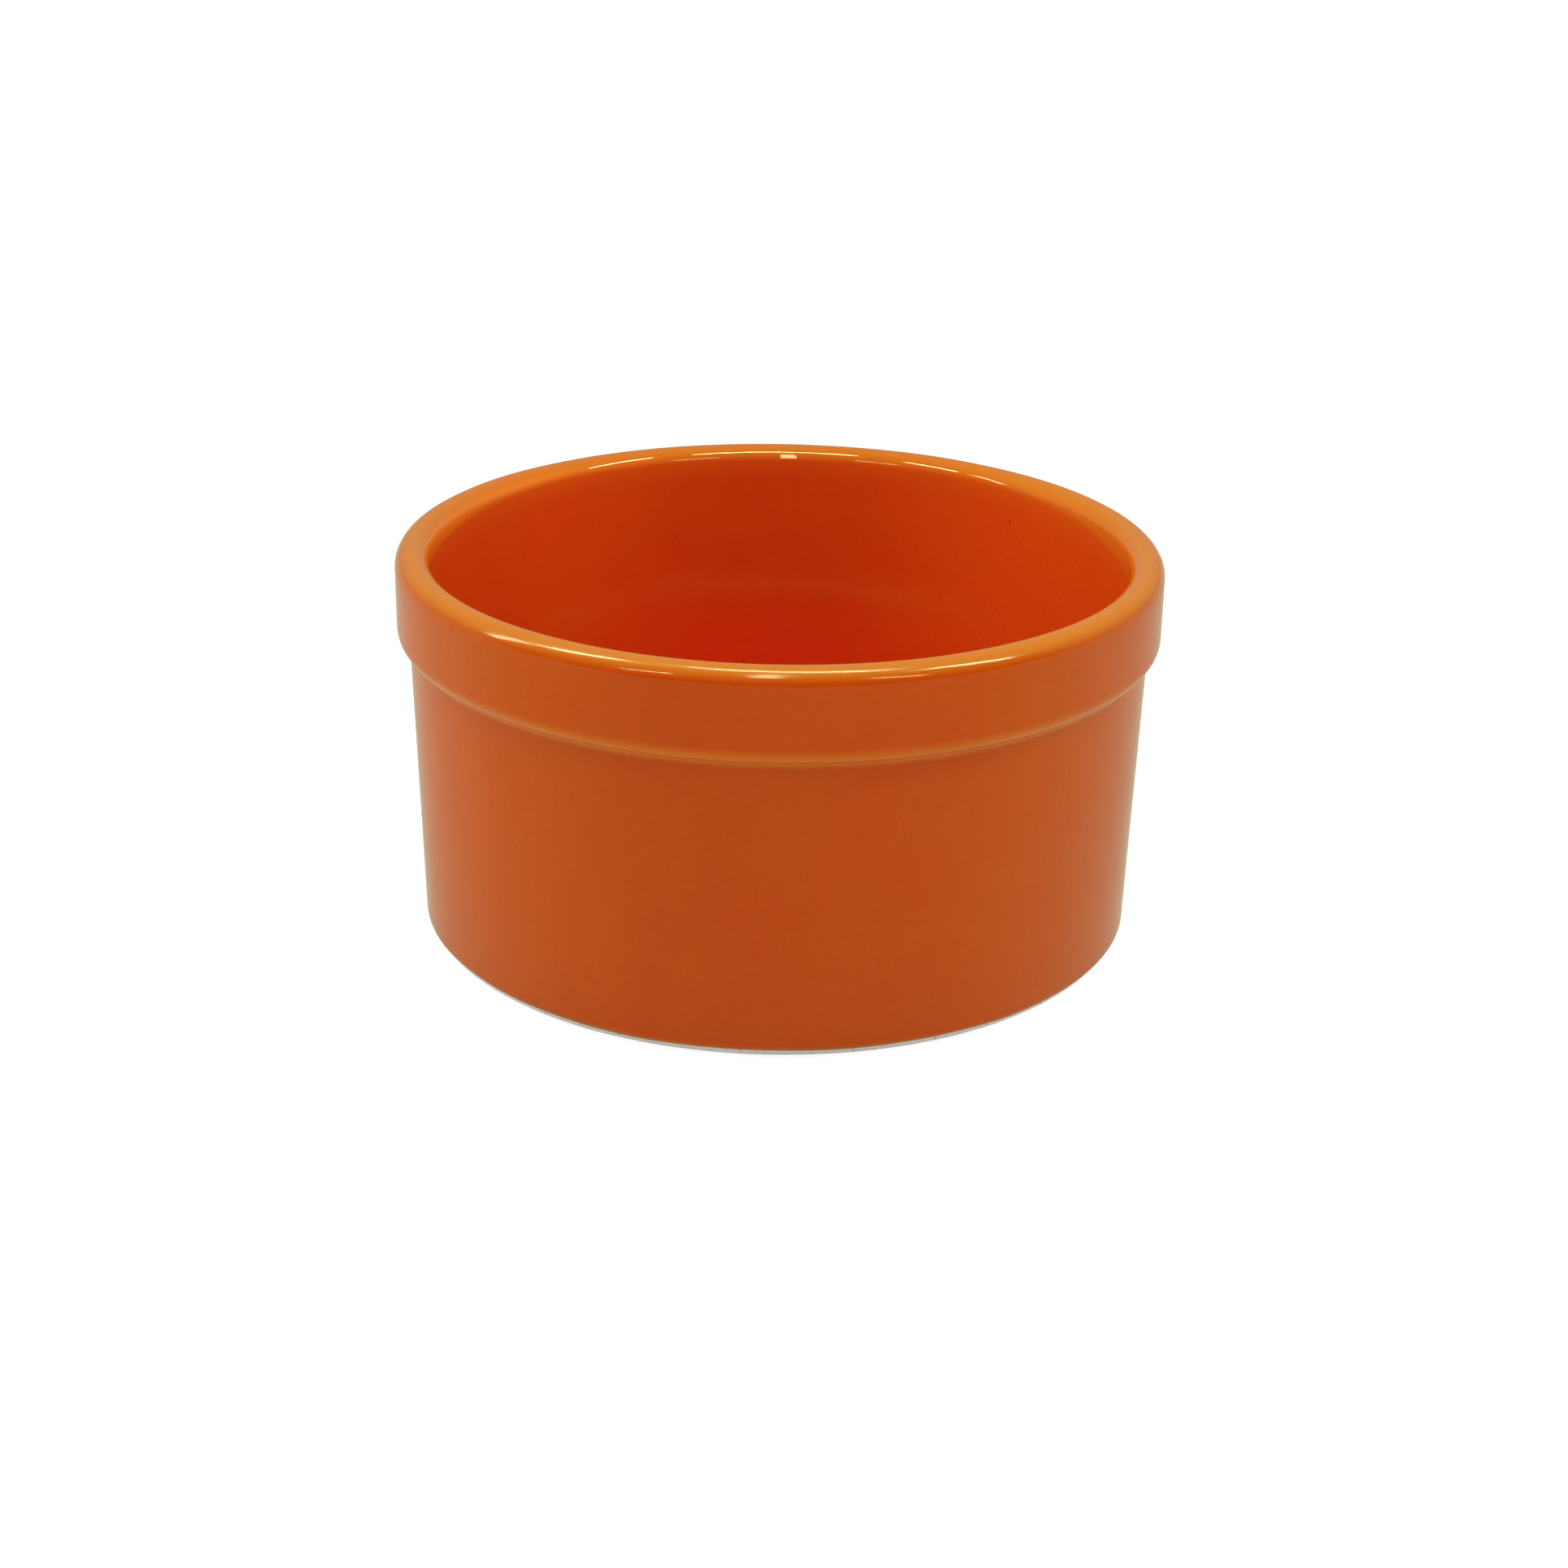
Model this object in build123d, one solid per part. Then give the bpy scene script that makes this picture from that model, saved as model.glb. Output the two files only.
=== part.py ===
from build123d import *

import math
import os

# A round ramekin: a fired stoneware body under a thick glossy glaze.
# The origin is the centre of the foot ring's contact plane and +Z points up, out of the bowl.
# All lengths are in millimetres, and the outside sizes are those of the glazed surface.

# Outside
band_diameter = 100.0
height = 51.0
band_height = 11.1
band_projection = 1.55
band_step_angle = 60.0
band_edge_round = 2.0
band_root_round = 0.8
foot_inset = 1.1

# Lip and bowl
lip_width = 4.45
lip_outer_round = 2.1
lip_inner_round = 2.1
bowl_taper = 1.6
bowl_floor_fillet = 8.0
base_thickness = 4.0

# Foot ring, on the bare clay
foot_round = 1.2
foot_ring_width = 5.0
foot_inner_round = 0.8
recess_depth = 2.4
recess_lean = 0.5
recess_fillet = 1.0

# Glaze: it draws thin over the edges, pools in the hollows and ends in a bead on each side of the foot
glaze_thickness = 0.4
bare_foot_height = 1.5
bare_recess_height = 1.0
bead_round = 0.3
edge_thinning_share = 1.3
hollow_pooling_share = 0.5

# Rounds that meet on one side of the outline take at most this share of it
side_share = 0.98

# Places worked out from the sizes above
band_radius = band_diameter / 2
wall_radius = band_radius - band_projection
foot_radius = wall_radius - foot_inset
bowl_radius = band_radius - lip_width
bowl_floor_radius = bowl_radius - bowl_taper
step_top = height - band_height
step_foot = step_top - band_projection / math.tan(math.radians(band_step_angle))
ring_inner_radius = foot_radius - foot_ring_width
recess_radius = ring_inner_radius - recess_lean
clay_floor = recess_depth + base_thickness
glazed_floor = clay_floor + glaze_thickness
ring_middle_radius = foot_radius - foot_ring_width / 2
base_middle = recess_depth + base_thickness / 2


def fitted_rounds(points, rounds):
    """The rounds of an outline's corners, both shrunk where two neighbours want more than their side."""
    corners = [Vector(*point) for point in points]
    sides = [after - before for before, after in zip(corners, corners[1:])]
    reaches = [0]
    for size, before, after in zip(rounds, sides, sides[1:]):
        reaches.append(size * math.tan(math.radians(before.get_angle(after)) / 2))
    reaches.append(0)
    fits = []
    for side, first, second in zip(sides, reaches, reaches[1:]):
        room = side_share * side.length
        fits.append(room / max(room, first + second))
    return [size * min(fits[i], fits[i + 1]) for i, size in enumerate(rounds)]


def section(points, rounds):
    """A flat face in the XZ plane with rounded corners, closed along the axis of the pot."""
    outline = FilletPolyline(*points, radius=fitted_rounds(points, rounds))
    axis_side = Line(points[-1], points[0])
    return Plane.XZ * make_face(outline.edges() + axis_side.edges())


def bowl_and_wall(depth):
    """Corners and rounds from the middle of the bowl's floor, over the lip and the band, to the wall.

    The surface lies the given depth under the glazed one, so nought is the glaze and its full
    thickness is the clay. Convex rounds shrink faster than an even coat's, which thins the glaze there,
    and concave ones grow slower, which thickens it.
    """
    floor = glazed_floor - depth
    lip_top = height - depth
    step_rise = depth * math.tan(math.radians(band_step_angle) / 2)
    thinned = edge_thinning_share * depth
    pooled = hollow_pooling_share * depth
    points = [
        (0, floor),
        (bowl_floor_radius + depth, floor),
        (bowl_radius + depth, lip_top),
        (band_radius - depth, lip_top),
        (band_radius - depth, step_top + step_rise),
        (wall_radius - depth, step_foot + step_rise),
    ]
    rounds = [
        bowl_floor_fillet + pooled,
        lip_inner_round - thinned,
        lip_outer_round - thinned,
        band_edge_round - thinned,
        band_root_round + pooled,
    ]
    return points, rounds


def clay_section():
    """The fired body: bowl, band, wall, and the foot ring round its shallow recess."""
    points, rounds = bowl_and_wall(glaze_thickness)
    points += [
        (foot_radius - glaze_thickness, 0),
        (ring_inner_radius, 0),
        (recess_radius, recess_depth),
        (0, recess_depth),
    ]
    rounds += [foot_round, foot_inner_round, recess_fillet]
    return section(points, rounds)


def glazed_section():
    """The glazed outside and bowl, down to the bead above the foot, closed inside the clay."""
    points, rounds = bowl_and_wall(0)
    lean = foot_inset * (step_foot - bare_foot_height) / step_foot
    points += [
        (wall_radius - lean, bare_foot_height),
        (ring_middle_radius, bare_foot_height),
        (ring_middle_radius, base_middle),
        (0, base_middle),
    ]
    rounds += [bead_round, 0, 0]
    return section(points, rounds)


def underside_section():
    """The glazed roof and side of the recess, down to the bead above the foot, closed inside the clay."""
    roof = recess_depth - glaze_thickness
    lean = recess_lean * bare_recess_height / recess_depth
    points = [
        (0, base_middle),
        (ring_middle_radius, base_middle),
        (ring_middle_radius, bare_recess_height),
        (ring_inner_radius - lean - glaze_thickness, bare_recess_height),
        (recess_radius - glaze_thickness, roof),
        (0, roof),
    ]
    rounds = [0, 0, bead_round, recess_fillet - hollow_pooling_share * glaze_thickness]
    return section(points, rounds)


def turned(face):
    """The solid that a section sweeps in one full turn about the pot's axis."""
    return revolve(face, axis=Axis.Z)


def stoneware_body():
    """The fired clay in one piece, bare where the foot ring stands."""
    return turned(clay_section())


def glaze_coat():
    """The coloured glaze over the wall, the band, the lip and the inside of the bowl."""
    return turned(glazed_section() - clay_section())


def underside_glaze():
    """The same glaze inside the foot ring, parted from the coat by the wiped foot."""
    return turned(underside_section() - clay_section())


pieces = {
    "stoneware_body": stoneware_body(),
    "glaze_coat": glaze_coat(),
    "underside_glaze": underside_glaze(),
}

os.makedirs("parts", exist_ok=True)
for name, piece in pieces.items():
    export_step(piece, f"parts/{name}.step")
    print(f"{name}: {len(piece.solids())} solid, {piece.volume:.1f} mm3, valid {piece.is_valid}")
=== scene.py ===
import math

import bpy
from mathutils import Matrix, Vector, noise


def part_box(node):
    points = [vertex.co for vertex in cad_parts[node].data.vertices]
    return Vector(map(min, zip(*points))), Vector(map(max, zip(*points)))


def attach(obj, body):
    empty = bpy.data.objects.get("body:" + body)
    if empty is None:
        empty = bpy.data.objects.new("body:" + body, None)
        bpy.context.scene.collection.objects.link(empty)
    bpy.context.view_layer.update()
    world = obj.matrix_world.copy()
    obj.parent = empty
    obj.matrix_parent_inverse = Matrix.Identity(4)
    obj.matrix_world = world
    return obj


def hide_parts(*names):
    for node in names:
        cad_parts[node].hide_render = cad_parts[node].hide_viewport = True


# A round stoneware ramekin under a thick orange glaze, in metres, in the frame of the CAD.
# Each CAD solid is stood for by a finely turned skin with the small unevenness of dipped and fired ware.

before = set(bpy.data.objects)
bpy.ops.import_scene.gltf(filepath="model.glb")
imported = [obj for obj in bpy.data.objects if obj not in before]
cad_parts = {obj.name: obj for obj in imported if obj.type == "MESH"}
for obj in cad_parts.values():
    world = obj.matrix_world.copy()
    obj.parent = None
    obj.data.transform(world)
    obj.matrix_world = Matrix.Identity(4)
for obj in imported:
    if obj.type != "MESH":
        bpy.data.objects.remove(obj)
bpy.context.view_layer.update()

# Outside of the glaze, worked out from the frame where it shows there
glaze_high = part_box("glaze_coat")[1]
band_radius = glaze_high.x
height = glaze_high.z
band_height = 0.0111
band_projection = 0.00155
band_step_angle = math.radians(60)
band_edge_round = 0.0020
band_root_round = 0.0008
foot_inset = 0.0011
wall_radius = band_radius - band_projection
foot_radius = wall_radius - foot_inset

# Lip and bowl
lip_width = 0.00445
lip_round = 0.0021
bowl_taper = 0.0016
bowl_floor_fillet = 0.008
base_thickness = 0.004
bowl_radius = band_radius - lip_width
bowl_floor_radius = bowl_radius - bowl_taper

# Foot ring
foot_round = 0.0012
foot_ring_width = 0.005
foot_inner_round = 0.0008
recess_depth = 0.0024
recess_lean = 0.0005
recess_fillet = 0.001
ring_inner_radius = foot_radius - foot_ring_width
recess_radius = ring_inner_radius - recess_lean

# Glaze, and the depth of the skins that stand for it
glaze_thickness = 0.0004
skin_depth = 0.0006
bare_foot_height = 0.0015
bare_recess_height = 0.001
bead_round = 0.0003
glazed_floor = recess_depth + base_thickness + glaze_thickness
step_top = height - band_height
step_foot = step_top - band_projection / math.tan(band_step_angle)

# Fineness of the turned skins, where they show and where they lie hidden in the clay
turn_steps = 384
side_spacing = 0.0012
round_steps = 8
hidden_spacing = 0.006
hidden_round_steps = 6


def rounded_outline(corners, rounds, spacing=side_spacing, arc_steps=round_steps):
    """Points along an outline with rounded corners, closer together on the rounds."""
    points = [Vector(corner) for corner in corners]
    outline = [points[0]]
    for before, corner, after, size in zip(points, points[1:], points[2:], rounds):
        came = (corner - before).normalized()
        goes = (after - corner).normalized()
        turn = came.angle_signed(goes)
        reach = size * math.tan(abs(turn) / 2)
        start = corner - came * reach
        add_side(outline, start, spacing)
        if size == 0:
            continue
        side = math.copysign(1, turn)
        centre = start + Vector((came.y, -came.x)) * side * size
        for step in range(1, arc_steps + 1):
            spoke = start - centre
            spoke.rotate(Matrix.Rotation(-turn * step / arc_steps, 2))
            outline.append(centre + spoke)
    add_side(outline, points[-1], spacing)
    return outline


def add_side(outline, end, spacing):
    """Carries an outline straight on to a point, with steps no longer than the spacing."""
    start = outline[-1]
    steps = max(1, math.ceil((end - start).length / spacing))
    for step in range(1, steps + 1):
        outline.append(start.lerp(end, step / steps))


def bowl_and_wall(depth):
    """Corners and rounds from the middle of the bowl over the lip and the band, a depth under the glaze."""
    corners = [
        (0, glazed_floor - depth),
        (bowl_floor_radius + depth, glazed_floor - depth),
        (bowl_radius + depth, height - depth),
        (band_radius - depth, height - depth),
        (band_radius - depth, step_top),
        (wall_radius - depth, step_foot),
    ]
    rounds = [
        bowl_floor_fillet,
        lip_round - depth,
        lip_round - depth,
        band_edge_round - depth,
        band_root_round,
    ]
    return corners, rounds


def coat_outline():
    """The glazed surface from the bowl to the bead above the foot, and back inside the clay."""
    corners, rounds = bowl_and_wall(0)
    lean = foot_inset * (step_foot - bare_foot_height) / step_foot
    bead_radius = wall_radius - lean
    inner_edge = (bead_radius - skin_depth, bare_foot_height)
    shown = rounded_outline(corners + [(bead_radius, bare_foot_height), inner_edge], rounds + [bead_round])
    inner_corners, inner_rounds = bowl_and_wall(skin_depth)
    inner_corners.append(inner_edge)
    hidden = rounded_outline(inner_corners[::-1], inner_rounds[::-1], hidden_spacing, hidden_round_steps)
    return shown + hidden[1:]


def clay_outline():
    """The fired body, from the middle of the bowl round the foot ring to the middle of the recess."""
    corners, rounds = bowl_and_wall(glaze_thickness)
    corners += [
        (foot_radius - glaze_thickness, 0),
        (ring_inner_radius, 0),
        (recess_radius, recess_depth),
        (0, recess_depth),
    ]
    rounds += [foot_round, foot_inner_round, recess_fillet]
    return rounded_outline(corners, rounds)


def underside_outline():
    """The glazed roof and side of the recess, and back inside the clay."""
    roof = recess_depth - glaze_thickness
    lean = recess_lean * bare_recess_height / recess_depth
    corners = [
        (0, recess_depth + skin_depth - glaze_thickness),
        (recess_radius + skin_depth - glaze_thickness, recess_depth + skin_depth - glaze_thickness),
        (ring_inner_radius - lean + skin_depth - glaze_thickness, bare_recess_height),
        (ring_inner_radius - lean - glaze_thickness, bare_recess_height),
        (recess_radius - glaze_thickness, roof),
        (0, roof),
    ]
    rounds = [recess_fillet, 0, bead_round, recess_fillet]
    return rounded_outline(corners, rounds)


def turned(name, outline, relief, material):
    """A closed skin swept round the pot's axis from an outline that starts and ends on the axis."""
    inner = outline[1:-1]
    normals = [(after - before).normalized() for before, after in zip(outline, outline[2:])]
    vertices = [(0, 0, outline[0].y)]
    for turn in range(turn_steps):
        angle = math.tau * turn / turn_steps
        out = Vector((math.cos(angle), math.sin(angle), 0))
        for point, along in zip(inner, normals):
            place = out * point.x + Vector((0, 0, point.y))
            normal = out * -along.y + Vector((0, 0, along.x))
            vertices.append(place + relief(place, normal))
    vertices.append((0, 0, outline[-1].y))
    count = len(inner)
    last = len(vertices) - 1
    faces = []
    for turn in range(turn_steps):
        here = 1 + turn * count
        there = 1 + (turn + 1) % turn_steps * count
        faces.append((0, here, there))
        for row in range(count - 1):
            faces.append((here + row, here + row + 1, there + row + 1, there + row))
        faces.append((here + count - 1, last, there + count - 1))
    mesh = bpy.data.meshes.new(name)
    mesh.from_pydata(vertices, [], faces)
    mesh.materials.append(material)
    mesh.shade_smooth()
    piece = bpy.data.objects.new(name, mesh)
    bpy.context.scene.collection.objects.link(piece)
    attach(piece, "root")
    return piece


# Relief of the skins
swell_length = 0.016
swell_depth = 0.00008
ripple_length = 0.005
ripple_depth = 0.000008
line_height = 0.006
line_length = 0.012
line_rise = 0.00025
line_drop = 0.00055
grit_length = 0.003
grit_depth = 0.00004


def unevenness(place, length):
    """Smooth unevenness between nought and minus one."""
    return (noise.noise(place / length) - 1) / 2


def coat_relief(place, normal):
    """The glaze lies a little unevenly, always within the CAD surface, and its lower line wanders."""
    swell = unevenness(place, swell_length) * swell_depth
    ripple = unevenness(place, ripple_length) * ripple_depth
    near_line = max(0, 1 - place.z / line_height)
    rise = noise.noise(place / line_length) * line_rise - line_drop
    return normal * (swell + ripple) + Vector((0, 0, rise * near_line))


def clay_relief(place, normal):
    """The wiped clay is slightly rough, within the CAD surface."""
    return normal * unevenness(place, grit_length) * grit_depth


# Colours of the glaze, from the bowl to thin on the edges, and of the clay, with painted light where noted
# Painted bounce light: the bowl's glaze is a deeper, lighter red than the wall's, for light bouncing between
# its walls
bowl_painted_bounce_color = (0.585, 0.014, 0.003, 1)
# Painted shade: the bowl is darker near its top than deep down, evening out how light falls in it
bowl_top_painted_shade_color = (0.450, 0.029, 0.003, 1)
# Painted light: the bowl is lighter and more orange towards its left and right, where the lamps light its
# walls more
bowl_left_painted_light_color = (0.550, 0.043, 0.004, 1)
bowl_right_painted_light_color = (0.650, 0.066, 0.004, 1)
wall_color = (0.455, 0.036, 0.0005, 1)
# Painted light and reflection: the wall is lighter and yellower at its left and right flanks, where side
# light and grazing reflection fall
wall_side_painted_light_color = (0.485, 0.061, 0.0005, 1)
lip_color = (0.440, 0.129, 0.006, 1)
# Painted highlight: the lip is lighter on its far side, standing partly for its highlight streaks
lip_far_painted_highlight_color = (0.465, 0.116, 0.006, 1)
# Painted light: the lip is lighter on its right, where the lamps light it more
lip_right_painted_light_color = (0.52, 0.149, 0.006, 1)
inner_lip_color = (0.45, 0.105, 0.006, 1)
# Painted light: the thin glaze inside the lip is lighter at the left and right sides
inner_lip_side_painted_light_color = (0.62, 0.152, 0.010, 1)
# Thin glaze and painted light: the band's lower edge is paler where its glaze is thin, and painted lighter
# as a bright line
band_edge_thin_painted_light_color = (0.58, 0.135, 0.008, 1)
mottle_color = (0.25, 0.012, 0.002, 1)
line_color = (0.38, 0.12, 0.03, 1)
speck_color = (0.05, 0.008, 0.004, 1)
clay_color = (0.68, 0.65, 0.58, 1)
clay_fleck_color = (0.40, 0.33, 0.25, 1)

# Heights between which the glaze turns thin at the lip, thin and painted lighter at the band's lower edge,
# and thin at its lower line
outer_lip = (0.0492, 0.0509)
inner_lip = (0.0490, 0.0503)
below_lip = (0.0460, 0.0490)
inner_crown = (0.0498, 0.0507)
band_edge_top = (0.0398, 0.0416)
band_edge_foot = (0.0382, 0.0395)
line_fade = (0.0010, 0.0018)

# How thin it is just under the lip and on the band's edge, where it is painted lighter too, and how far the
# pale glaze under the lip reaches lower at the left and right sides
below_lip_share = 0.18
band_edge_share = 0.8
inner_lip_side_drop = 0.00200
inner_lip_lean = 0.00035
inner_lip_side_drop_power = 6

# Ranges over which the colour and its painted light turn: across the bowl, up it, across the wall, and along
# the lip
# Across the bowl and lip, where the painted light at the left and right fades in
bowl_right_painted_light_fade = (0.002, 0.052)
bowl_left_painted_light_fade = (-0.036, -0.008)
# Heights over which the bowl's painted shade turns darker towards its top
bowl_painted_shade_heights = (0.008, 0.040)
# Across the wall, where its painted lighter flanks fade in
wall_painted_light_sides = (0.012, 0.044)
# Along the lip, where its painted lighter far side fades in
lip_far_painted_highlight_fade = (-0.010, 0.030)

# Mottle and gloss of the glaze, and grain of the clay
grain_detail = 2
cloud_length = 0.009
cloud_share = 0.16
mottle_length = 0.0005
mottle_fade = (0.45, 0.75)
mottle_share = 0.12
peel_length = 0.0022
peel_depth = 0.000004
glaze_ior = 1.55
glaze_tint = (0.75, 0.97, 0.44, 1)
gloss_length = 0.0045
gloss_low = 0.012
gloss_high = 0.04
lip_wear_roughness = 0.18
bowl_wear = (0.0090, 0.0200)
bowl_wear_roughness = 0.40
clay_roughness = 0.85
grain_length = 0.0004
grain_depth = 0.00003
fleck_length = 0.0007
fleck_fade = (0.62, 0.72)

# Iron specks in the glaze: the share of the radius that is darkest, and for each one
# its azimuth, height, distance from the axis and radius
speck_core_share = 0.5
specks = [
    (math.radians(44.2), 0.04465, 0.0453, 0.00022),
    (math.radians(109.9), 0.03818, 0.0451, 0.00016),
    (math.radians(-74.6), 0.01278, 0.0477, 0.00012),
    (math.radians(-89.6), 0.00790, 0.0476, 0.00010),
    (math.radians(152.0), 0.02150, 0.0479, 0.00018),
    (math.radians(15.0), 0.03050, 0.0482, 0.00014),
]


def new_material(name):
    """A material's shader and its node tree."""
    material = bpy.data.materials.new(name)
    material.use_nodes = True
    return material, material.node_tree.nodes["Principled BSDF"], material.node_tree


def feed(tree, socket, value):
    """Gives a socket a plain value or another node's output."""
    if isinstance(value, bpy.types.NodeSocket):
        tree.links.new(value, socket)
    else:
        socket.default_value = value


def math_node(tree, operation, first, second):
    """The result of an operation on two values, each a number or another node's output."""
    node = tree.nodes.new("ShaderNodeMath")
    node.operation = operation
    feed(tree, node.inputs[0], first)
    feed(tree, node.inputs[1], second)
    return node.outputs[0]


def product(tree, first, second):
    """Two values multiplied."""
    return math_node(tree, "MULTIPLY", first, second)


def total(tree, first, second):
    """Two values added."""
    return math_node(tree, "ADD", first, second)


def ranged(tree, value, source, target):
    """A value carried smoothly from one range to another, and held at its ends."""
    node = tree.nodes.new("ShaderNodeMapRange")
    node.interpolation_type = "SMOOTHSTEP"
    tree.links.new(value, node.inputs["Value"])
    for name, number in zip(("From Min", "From Max", "To Min", "To Max"), source + target):
        node.inputs[name].default_value = number
    return node.outputs[0]


def above(tree, value, fade):
    """Nought below a fade, one above it."""
    return ranged(tree, value, fade, (0, 1))


def below(tree, value, fade):
    """One below a fade, nought above it."""
    return ranged(tree, value, fade, (1, 0))


def mixed(tree, share, first, second):
    """One colour turning into another with a share."""
    node = tree.nodes.new("ShaderNodeMix")
    node.data_type = "RGBA"
    sockets = {socket.identifier: socket for socket in node.inputs}
    feed(tree, sockets["Factor_Float"], share)
    feed(tree, sockets["A_Color"], first)
    feed(tree, sockets["B_Color"], second)
    return next(socket for socket in node.outputs if socket.identifier == "Result_Color")


def grain(tree, place, length):
    """Smooth noise between nought and one, with features of a length."""
    node = tree.nodes.new("ShaderNodeTexNoise")
    tree.links.new(place, node.inputs["Vector"])
    node.inputs["Scale"].default_value = 1 / length
    node.inputs["Detail"].default_value = grain_detail
    return node.outputs[0]


def raised(tree, bumps, depth):
    """The surface's normal over small bumps of a depth."""
    node = tree.nodes.new("ShaderNodeBump")
    node.inputs["Distance"].default_value = depth
    tree.links.new(bumps, node.inputs["Height"])
    return node.outputs[0]


def object_place(tree):
    """The object's own coordinates."""
    return tree.nodes.new("ShaderNodeTexCoord").outputs["Object"]


def place_on_pot(tree):
    """The object's own coordinates, whole and each apart, and the distance from the axis."""
    place = object_place(tree)
    parts = tree.nodes.new("ShaderNodeSeparateXYZ")
    tree.links.new(place, parts.inputs[0])
    across = product(tree, parts.outputs["X"], parts.outputs["X"])
    along = product(tree, parts.outputs["Y"], parts.outputs["Y"])
    radius = math_node(tree, "SQRT", total(tree, across, along), 0)
    return place, parts.outputs["X"], parts.outputs["Y"], parts.outputs["Z"], radius


def speckled(tree, place, color):
    """A colour with the iron specks on it."""
    for azimuth, z, radius, size in specks:
        node = tree.nodes.new("ShaderNodeVectorMath")
        node.operation = "DISTANCE"
        tree.links.new(place, node.inputs[0])
        node.inputs[1].default_value = (radius * math.cos(azimuth), radius * math.sin(azimuth), z)
        share = below(tree, node.outputs["Value"], (size * speck_core_share, size))
        color = mixed(tree, share, color, speck_color)
    return color


def glaze_thinness(tree, x, z, radius, outside):
    """Shares of thin glaze inside the lip, lower at the sides, over the lip, and of thin, painted lighter
    glaze on the band's edge.
    """
    inside = math_node(tree, "SUBTRACT", 1, outside)
    turned_by = math_node(tree, "DIVIDE", x, radius)
    aside = math_node(tree, "POWER", math_node(tree, "ABSOLUTE", turned_by, 0), inner_lip_side_drop_power)
    side_drop = total(tree, product(tree, turned_by, inner_lip_lean), inner_lip_side_drop)
    dropped_z = total(tree, z, product(tree, aside, side_drop))
    faint = product(tree, above(tree, dropped_z, below_lip), below_lip_share)
    full = product(tree, above(tree, dropped_z, inner_lip), 1 - below_lip_share)
    inner = product(tree, inside, total(tree, faint, full))
    crown = product(tree, inside, above(tree, z, inner_crown))
    outer = total(tree, product(tree, outside, above(tree, z, outer_lip)), crown)
    # Thin glaze and painted light on the band's lower edge
    edge = product(tree, below(tree, z, band_edge_top), above(tree, z, band_edge_foot))
    edge = product(tree, product(tree, edge, outside), band_edge_share)
    return inner, outer, edge


def thick_glaze_color(tree, x, z, left, right, outside):
    """The glaze's colour in the bowl, painted red for light bouncing in it, darker near its top and lighter
    towards its left and right, and on the wall, painted lighter and yellower at its flanks.
    """
    # Painted bounce light and shade: red deep in the bowl, darker near its top
    bowl = mixed(tree, above(tree, z, bowl_painted_shade_heights), bowl_painted_bounce_color, bowl_top_painted_shade_color)
    # Painted light at the bowl's left and right
    bowl = mixed(tree, left, bowl, bowl_left_painted_light_color)
    bowl = mixed(tree, right, bowl, bowl_right_painted_light_color)
    # Painted light and reflection on the wall's left and right flanks
    flanks = above(tree, math_node(tree, "ABSOLUTE", x, 0), wall_painted_light_sides)
    return mixed(tree, outside, bowl, mixed(tree, flanks, wall_color, wall_side_painted_light_color))


def mottled(tree, place, color):
    """A colour with wide pale clouds and a fine dark mottle."""
    clouds = product(tree, grain(tree, place, cloud_length), cloud_share)
    color = mixed(tree, clouds, color, lip_color)
    mottle = above(tree, grain(tree, place, mottle_length), mottle_fade)
    return mixed(tree, product(tree, mottle, mottle_share), color, mottle_color)


def thinned(tree, color, y, left, right, thinness):
    """A colour turned yellower where the glaze is thin, at the lip and the band's lower edge, and painted
    lighter on the lip's right and far side, the inner lip's sides and the band's lower edge.
    """
    inner, outer, edge = thinness
    sides = total(tree, left, right)
    # Thin glaze inside the lip, painted lighter at the left and right sides
    color = mixed(tree, inner, color, mixed(tree, sides, inner_lip_color, inner_lip_side_painted_light_color))
    # Painted highlight on the lip's far side
    lip = mixed(tree, above(tree, y, lip_far_painted_highlight_fade), lip_color, lip_far_painted_highlight_color)
    # Painted light on the lip's right
    color = mixed(tree, outer, color, mixed(tree, right, lip, lip_right_painted_light_color))
    # Thin glaze and painted light on the band's lower edge
    return mixed(tree, edge, color, band_edge_thin_painted_light_color)


def glaze_roughness(tree, place, z, outside):
    """The glaze's uneven gloss, worn dull on the bowl's floor and a little on the outer lip."""
    gloss = ranged(tree, grain(tree, place, gloss_length), (0, 1), (gloss_low, gloss_high))
    floor = math_node(tree, "SUBTRACT", below(tree, z, bowl_wear), outside)
    floor = product(tree, math_node(tree, "MAXIMUM", floor, 0), bowl_wear_roughness)
    lip = product(tree, outside, above(tree, z, outer_lip))
    lip = product(tree, lip, lip_wear_roughness)
    return total(tree, total(tree, gloss, floor), lip)


def glaze_material():
    """Thick glossy glaze, painted redder in the bowl for light bouncing in it, yellower where it is thin,
    with painted light at its sides and edges, faintly mottled and specked.
    """
    material, shader, tree = new_material("orange_glaze")
    place, x, y, z, radius = place_on_pot(tree)
    between = (bowl_radius + foot_radius) / 2
    outside = above(tree, radius, (between, between + glaze_thickness))
    left = below(tree, x, bowl_left_painted_light_fade)
    right = above(tree, x, bowl_right_painted_light_fade)
    color = mottled(tree, place, thick_glaze_color(tree, x, z, left, right, outside))
    color = thinned(tree, color, y, left, right, glaze_thinness(tree, x, z, radius, outside))
    color = mixed(tree, below(tree, z, line_fade), color, line_color)
    tree.links.new(speckled(tree, place, color), shader.inputs["Base Color"])
    peel = raised(tree, grain(tree, place, peel_length), peel_depth)
    tree.links.new(peel, shader.inputs["Normal"])
    tree.links.new(glaze_roughness(tree, place, z, outside), shader.inputs["Roughness"])
    shader.inputs["IOR"].default_value = glaze_ior
    shader.inputs["Specular Tint"].default_value = glaze_tint
    return material


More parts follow.
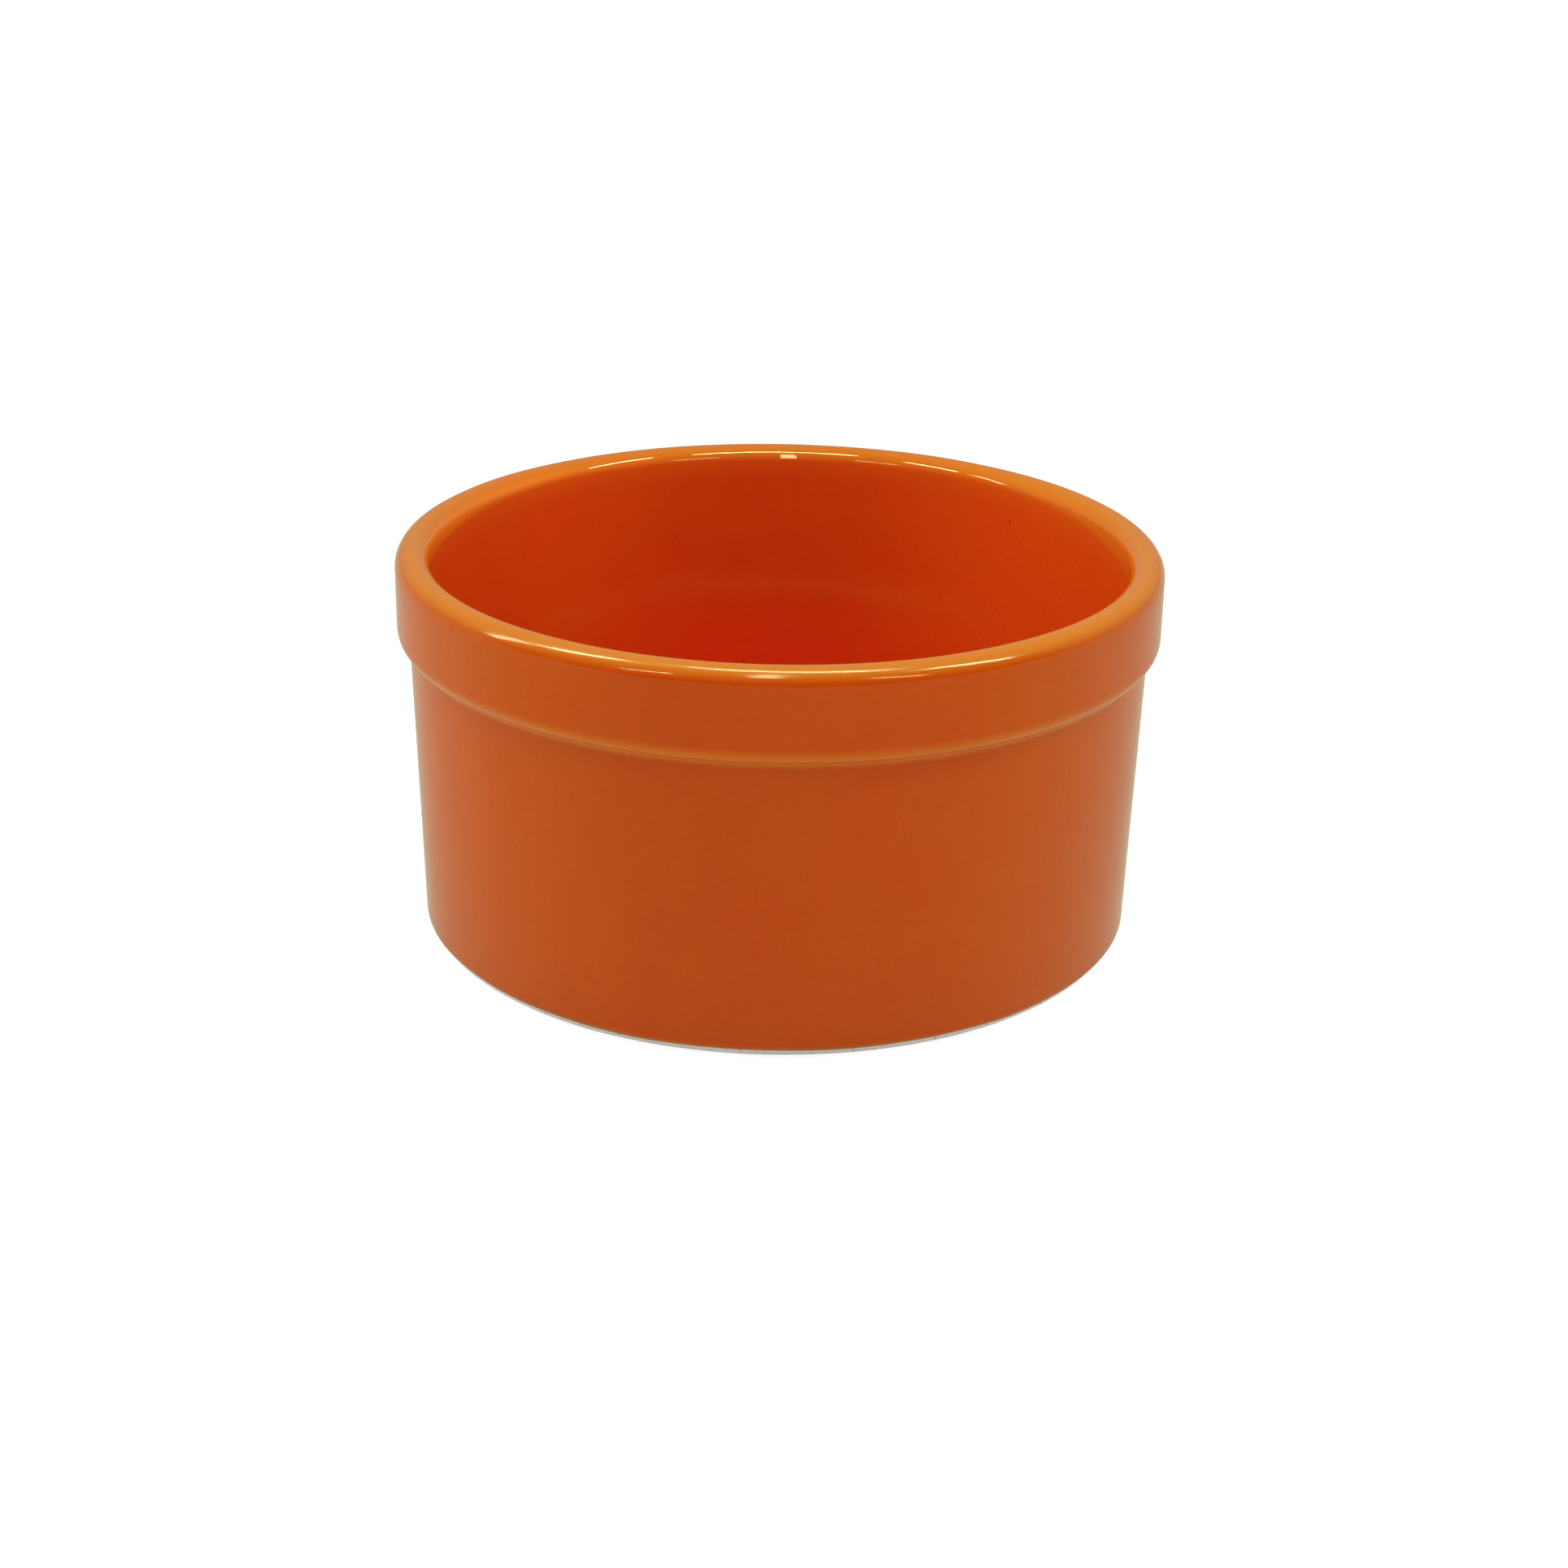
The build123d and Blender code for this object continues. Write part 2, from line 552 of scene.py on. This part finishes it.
def clay_material():
    """Bare fired stoneware, wiped and slightly sandy, with a few darker flecks."""
    material, shader, tree = new_material("bare_stoneware")
    place = object_place(tree)
    flecks = above(tree, grain(tree, place, fleck_length), fleck_fade)
    tree.links.new(mixed(tree, flecks, clay_color, clay_fleck_color), shader.inputs["Base Color"])
    sand = grain(tree, place, grain_length)
    tree.links.new(raised(tree, sand, grain_depth), shader.inputs["Normal"])
    shader.inputs["Roughness"].default_value = clay_roughness
    return material


glaze = glaze_material()
clay = clay_material()
coat = turned("orange_glaze_coat", coat_outline(), coat_relief, glaze)
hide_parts("glaze_coat")
body = turned("fired_stoneware_body", clay_outline(), clay_relief, clay)
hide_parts("stoneware_body")
recess = turned("recess_glaze", underside_outline(), clay_relief, glaze)
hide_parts("underside_glaze")


# Camera, as fitted to the pot's outline in the photograph
camera_distance = 0.3775
camera_elevation = math.radians(24.67)
camera_roll = math.radians(1.024)
camera_lens = 62.97
camera_sensor = 36.0
camera_clip_share = 0.1
camera_aim = Vector((0.00102, 0, 0.0168))


def add_camera():
    """The photograph's camera."""
    data = bpy.data.cameras.new("camera")
    data.sensor_width = camera_sensor
    data.lens = camera_lens
    data.clip_start = camera_distance * camera_clip_share
    seen_from = bpy.data.objects.new("camera", data)
    bpy.context.scene.collection.objects.link(seen_from)
    back = Vector((0, -math.cos(camera_elevation), math.sin(camera_elevation)))
    seen_from.location = back * camera_distance
    view = camera_aim - seen_from.location
    turn = view.to_track_quat("-Z", "Y").to_matrix() @ Matrix.Rotation(camera_roll, 3, "Z")
    seen_from.rotation_euler = turn.to_euler()
    bpy.context.scene.camera = seen_from


add_camera()


# Floor and surroundings
floor_reach = 4.0
floor_color = (0.80, 0.80, 0.80, 1)
floor_white_share = 0.7
floor_mirrored_share = 1
floor_shown = 1.20
floor_mirrored = 0.58
floor_mirrored_color = (1, 1, 0.72, 1)
world_mirrored = 0.36
world_mirrored_color = (1, 0.97, 0.80, 1)
room_mirrored = 0.04
room_fade = (-0.25, 0.15)
world_light = 0.785
world_shown = 1
white = (1, 1, 1, 1)


def mirrored_ray(tree, path):
    """One where a ray has come off gloss or through glass."""
    return total(tree, path.outputs["Is Glossy Ray"], path.outputs["Is Transmission Ray"])


def by_ray(tree, for_camera, in_reflections, otherwise):
    """A value for what the camera sees, another for what is mirrored, and a third for the light it gives."""
    path = tree.nodes.new("ShaderNodeLightPath")
    straight = path.outputs["Is Camera Ray"]
    mirrored = mirrored_ray(tree, path)
    rest = math_node(tree, "SUBTRACT", math_node(tree, "SUBTRACT", 1, straight), mirrored)
    seen = product(tree, straight, for_camera)
    shown = product(tree, mirrored, in_reflections)
    given = product(tree, rest, otherwise)
    return total(tree, total(tree, seen, shown), given)


def white_floor():
    """A pale floor that looks white and keeps a soft shadow."""
    material = bpy.data.materials.new("floor")
    material.use_nodes = True
    tree = material.node_tree
    tree.nodes.clear()
    out = tree.nodes.new("ShaderNodeOutputMaterial")
    lit = tree.nodes.new("ShaderNodeBsdfDiffuse")
    lit.inputs["Color"].default_value = floor_color
    glow = tree.nodes.new("ShaderNodeEmission")
    tree.links.new(by_ray(tree, floor_shown, floor_mirrored, 0), glow.inputs["Strength"])
    mirrored = mirrored_ray(tree, tree.nodes.new("ShaderNodeLightPath"))
    tree.links.new(mixed(tree, mirrored, white, floor_mirrored_color), glow.inputs["Color"])
    mix = tree.nodes.new("ShaderNodeMixShader")
    share = by_ray(tree, floor_white_share, floor_mirrored_share, 0)
    tree.links.new(share, mix.inputs[0])
    tree.links.new(lit.outputs[0], mix.inputs[1])
    tree.links.new(glow.outputs[0], mix.inputs[2])
    tree.links.new(mix.outputs[0], out.inputs["Surface"])
    corners = [(x * floor_reach, y * floor_reach, 0) for x, y in ((-1, -1), (1, -1), (1, 1), (-1, 1))]
    mesh = bpy.data.meshes.new("floor")
    mesh.from_pydata(corners, [], [(0, 1, 2, 3)])
    mesh.materials.append(material)
    floor = bpy.data.objects.new("floor", mesh)
    bpy.context.scene.collection.objects.link(floor)


def surroundings():
    """White for the camera, an even light on the pot, and mirrored as a pale tent open to a dark room."""
    world = bpy.data.worlds.new("surroundings")
    bpy.context.scene.world = world
    world.use_nodes = True
    tree = world.node_tree
    background = tree.nodes["Background"]
    mirrored = mirrored_ray(tree, tree.nodes.new("ShaderNodeLightPath"))
    tree.links.new(mixed(tree, mirrored, white, world_mirrored_color), background.inputs["Color"])
    parts = tree.nodes.new("ShaderNodeSeparateXYZ")
    tree.links.new(tree.nodes.new("ShaderNodeTexCoord").outputs["Generated"], parts.inputs[0])
    tent = ranged(tree, parts.outputs["Y"], room_fade, (room_mirrored, world_mirrored))
    tree.links.new(by_ray(tree, world_shown, tent, world_light), background.inputs["Strength"])


white_floor()
surroundings()


# Lamps of the light tent: name, the middles of both ends, half the width, and radiance
lamps = [
    ("overhead", (0.060, -0.030, 0.231), (-0.045, -0.010, 0.231), 0.004, 40.5),
    ("left_near", (-0.073, -0.020, 0.19), (-0.137, -0.020, 0.19), 0.004, 46.5),
    ("left_far", (-0.162, -0.010, 0.19), (-0.360, -0.010, 0.19), 0.014, 12.5),
    ("right_far", (0.39, -0.15, 0.774), (0.87, -0.15, 0.774), 0.0175, 52.0),
    ("front_slit", (-0.004, -0.080, 0.090), (-0.004, -0.080, 0.205), 0.0050, 12.0),
    ("front_left", (-0.101, -0.176, 0.179), (-0.259, -0.258, 0.236), 0.0036, 28.0),
    ("front_right", (0.087, -0.183, 0.179), (0.250, -0.275, 0.236), 0.0036, 28.0),
]
lit_point = Vector((0, 0, height))

# Lamps doubled by a weaker one that only the gloss shows: the double's share of the radiance, and how
# far it hangs below the lamp
gleam_shares = {"overhead": 0.8, "left_near": 0.6, "right_far": 0.4}
gleam_drop = Vector((0, 0, 0.002))


def add_lamp(name, start, end, half_width, radiance):
    """A soft rectangular lamp between two ends, turned to the pot's mouth."""
    start, end = Vector(start), Vector(end)
    data = bpy.data.lights.new(name, "AREA")
    data.shape = "RECTANGLE"
    data.size = (end - start).length
    data.size_y = 2 * half_width
    data.energy = radiance * math.pi * data.size * data.size_y
    light = bpy.data.objects.new(name, data)
    bpy.context.scene.collection.objects.link(light)
    middle = (start + end) / 2
    along = (end - start).normalized()
    away = middle - lit_point
    away = (away - along * away.dot(along)).normalized()
    turn = Matrix((along, away.cross(along), away)).transposed()
    light.matrix_world = Matrix.Translation(middle) @ turn.to_4x4()
    light.visible_camera = False
    return light


def add_gleam(name, start, end, half_width, radiance):
    """A weaker double just below a lamp, which only the gloss shows."""
    lower_start = Vector(start) - gleam_drop
    lower_end = Vector(end) - gleam_drop
    gleam = add_lamp(name + "_gleam", lower_start, lower_end, half_width, radiance)
    gleam.visible_diffuse = False


for name, start, end, half_width, radiance in lamps:
    add_lamp(name, start, end, half_width, radiance)
    if name in gleam_shares:
        add_gleam(name, start, end, half_width, gleam_shares[name] * radiance)

scene = bpy.context.scene
scene.view_settings.view_transform = "Standard"
